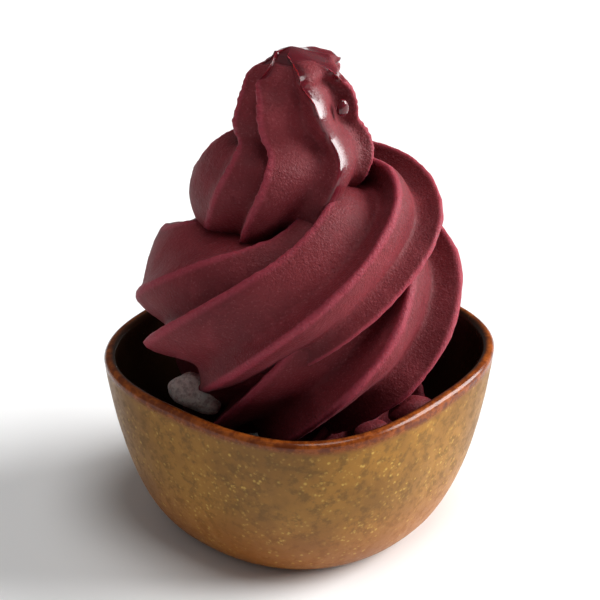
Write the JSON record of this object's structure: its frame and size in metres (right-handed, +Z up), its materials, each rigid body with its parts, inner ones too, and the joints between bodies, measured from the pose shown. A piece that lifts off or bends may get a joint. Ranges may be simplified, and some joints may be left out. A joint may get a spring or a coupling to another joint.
{
  "type": "soft serve in a bowl",
  "caption": "Small rounded-square stoneware bowl with a mottled ochre glaze, holding a tall ridged swirl of dark purple acai soft serve with a melted glossy tip.",
  "frame": {"origin": "on the table, under the middle of the bowl's foot", "axes": "+Z up, -Y towards the viewer of the picture, +X to the picture's right"},
  "size_m": [0.1096, 0.1096, 0.1408],
  "materials": {
    "bowl_glaze": "mottled ochre reactive glaze with pale crystals and a brown rim, glossy",
    "soft_serve": "frosty burgundy frozen puree, satin in the valleys, wet and glossy at the tip"
  },
  "bodies": {
    "root": {"bowl": "bowl_glaze", "soft_serve": "soft_serve"}
  },
  "joints": []
}
